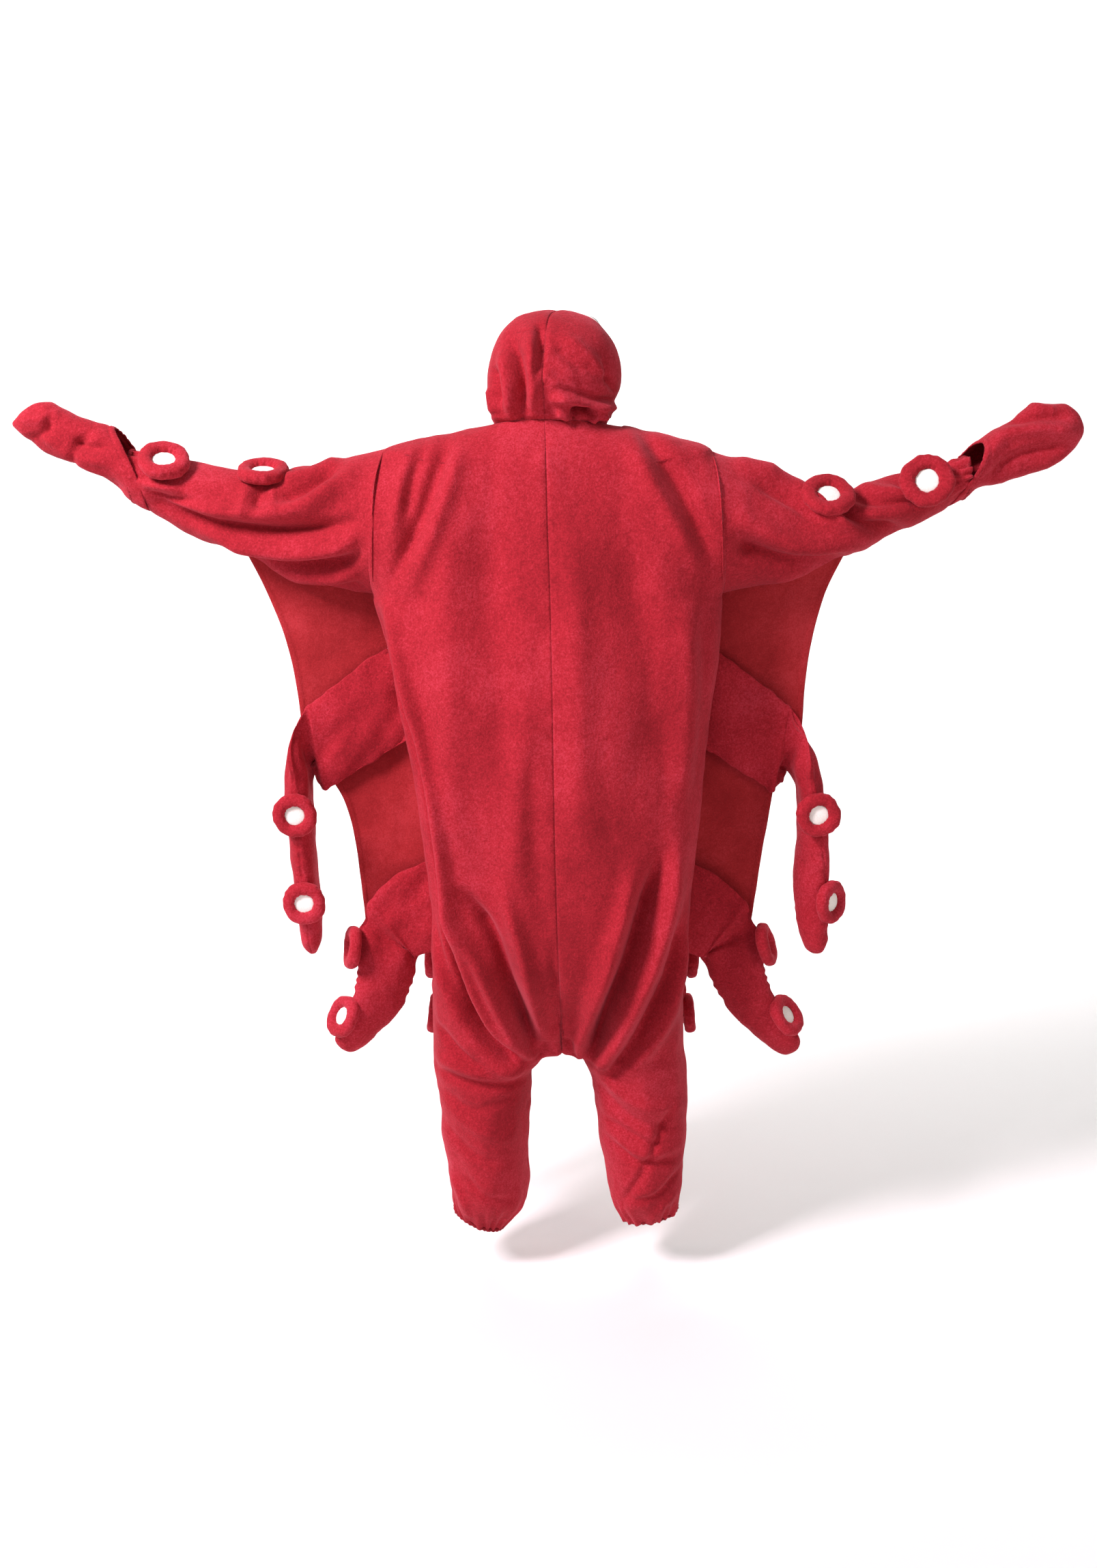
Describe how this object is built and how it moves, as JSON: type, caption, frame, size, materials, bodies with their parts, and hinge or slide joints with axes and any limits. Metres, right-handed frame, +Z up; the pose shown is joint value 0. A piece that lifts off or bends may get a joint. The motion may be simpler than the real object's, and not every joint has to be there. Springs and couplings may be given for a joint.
{
  "type": "octopus costume",
  "caption": "Hooded one-piece fleece costume with wide mitten sleeves, webs and hanging stuffed tentacles with ring suckers.",
  "frame": {"origin": "middle of the neck seam, between the wearer's shoulders", "axes": "+X to the wearer's right, +Y to the wearer's front, +Z up; the costume's back faces -Y"},
  "size_m": [1.7524, 0.366, 1.6027],
  "materials": {
    "fleece": "brushed polyester fleece with a soft matt pile",
    "web_cloth": "thin smooth fleece, hemmed",
    "binding": "gathered fleece over elastic",
    "white_felt": "smooth white felt",
    "black_felt": "smooth black felt",
    "stuffing": "loose polyester wadding",
    "press_studs": "nickel-plated press studs"
  },
  "bodies": {
    "suit": {"back_panel_left": "fleece", "back_panel_right": "fleece", "front_panel_left": "fleece", "front_panel_right": "fleece", "crotch_gusset": "fleece", "neck_band": "binding", "placket_base": "fleece", "snap_studs": "press_studs", "web_upper_left": "web_cloth", "web_upper_right": "web_cloth", "web_lower": "web_cloth", "web_front": "web_cloth", "bands_upper": "fleece", "bands_lower": "fleece", "bands_front": "fleece"},
    "hood": {"hood_left": "fleece", "hood_right": "fleece", "hood_facing": "binding", "eye_whites": "white_felt", "eye_pupils": "black_felt"},
    "placket_flap": {"placket_flap": "fleece", "snap_caps": "press_studs"},
    "sleeve_left": {"sleeve_left": "fleece", "wrist_elastic_left": "binding", "sleeve_rings_left": "fleece", "sleeve_discs_left": "white_felt"},
    "mitt_left": {"mitt_left": "fleece"},
    "leg_left": {"leg_left": "fleece", "ankle_elastic_left": "binding"},
    "tentacle_upper_left": {"tentacle_upper_left": "fleece", "fill_upper_left": "stuffing", "rings_upper_left": "fleece", "discs_upper_left": "white_felt"},
    "tentacle_lower_left": {"tentacle_lower_left": "fleece", "fill_lower_left": "stuffing", "rings_lower_left": "fleece", "discs_lower_left": "white_felt"},
    "tentacle_front_left": {"tentacle_front_left": "fleece", "fill_front_left": "stuffing", "rings_front_left": "fleece", "discs_front_left": "white_felt"},
    "sleeve_right": {"sleeve_right": "fleece", "wrist_elastic_right": "binding", "sleeve_rings_right": "fleece", "sleeve_discs_right": "white_felt"},
    "mitt_right": {"mitt_right": "fleece"},
    "leg_right": {"leg_right": "fleece", "ankle_elastic_right": "binding"},
    "tentacle_upper_right": {"tentacle_upper_right": "fleece", "fill_upper_right": "stuffing", "rings_upper_right": "fleece", "discs_upper_right": "white_felt"},
    "tentacle_lower_right": {"tentacle_lower_right": "fleece", "fill_lower_right": "stuffing", "rings_lower_right": "fleece", "discs_lower_right": "white_felt"},
    "tentacle_front_right": {"tentacle_front_right": "fleece", "fill_front_right": "stuffing", "rings_front_right": "fleece", "discs_front_right": "white_felt"}
  },
  "joints": [
    {"name": "hood_fold", "type": "hinge", "parent": "suit", "child": "hood", "pos_m": [0, -0.066, 0.016], "axis": [1, 0, 0], "range_deg": [0, 95]},
    {"name": "placket_open", "type": "hinge", "parent": "suit", "child": "placket_flap", "pos_m": [-0.01048, 0.14915, -0.45], "axis": [0, 0, 1], "range_deg": [0, 150]},
    {"name": "arm_swing_left", "type": "hinge", "parent": "suit", "child": "sleeve_left", "pos_m": [-0.283, 0, -0.16], "axis": [0, 1, 0], "range_deg": [-30, 30], "deforming": ["web_upper_left"]},
    {"name": "mitt_fold_left", "type": "hinge", "parent": "sleeve_left", "child": "mitt_left", "pos_m": [-0.687, 0, -0.124], "axis": [0, -1, 0], "range_deg": [0, 130]},
    {"name": "leg_swing_left", "type": "hinge", "parent": "suit", "child": "leg_left", "pos_m": [-0.118, 0, -1.046], "axis": [1, 0, 0], "range_deg": [-30, 25]},
    {"name": "upper_swing_left", "type": "hinge", "parent": "suit", "child": "tentacle_upper_left", "pos_m": [-0.4317, 0.008, -0.53], "axis": [1, 0, 0], "range_deg": [-60, 60]},
    {"name": "lower_swing_left", "type": "hinge", "parent": "suit", "child": "tentacle_lower_left", "pos_m": [-0.26267, 0.008, -0.908], "axis": [1, 0, 0], "range_deg": [-60, 40]},
    {"name": "front_swing_left", "type": "hinge", "parent": "suit", "child": "tentacle_front_left", "pos_m": [-0.18773, 0.164, -0.953], "axis": [1, 0, 0], "range_deg": [-15, 60]},
    {"name": "arm_swing_right", "type": "hinge", "parent": "suit", "child": "sleeve_right", "pos_m": [0.283, 0, -0.16], "axis": [0, -1, 0], "range_deg": [-30, 30], "deforming": ["web_upper_right"]},
    {"name": "mitt_fold_right", "type": "hinge", "parent": "sleeve_right", "child": "mitt_right", "pos_m": [0.687, 0, -0.124], "axis": [0, 1, 0], "range_deg": [0, 130]},
    {"name": "leg_swing_right", "type": "hinge", "parent": "suit", "child": "leg_right", "pos_m": [0.162, 0, -1.046], "axis": [1, 0, 0], "range_deg": [-30, 25]},
    {"name": "upper_swing_right", "type": "hinge", "parent": "suit", "child": "tentacle_upper_right", "pos_m": [0.4563, 0.008, -0.53], "axis": [1, 0, 0], "range_deg": [-60, 60]},
    {"name": "lower_swing_right", "type": "hinge", "parent": "suit", "child": "tentacle_lower_right", "pos_m": [0.30733, 0.008, -0.908], "axis": [1, 0, 0], "range_deg": [-60, 40]},
    {"name": "front_swing_right", "type": "hinge", "parent": "suit", "child": "tentacle_front_right", "pos_m": [0.23427, 0.164, -0.953], "axis": [1, 0, 0], "range_deg": [-15, 60]}
  ]
}
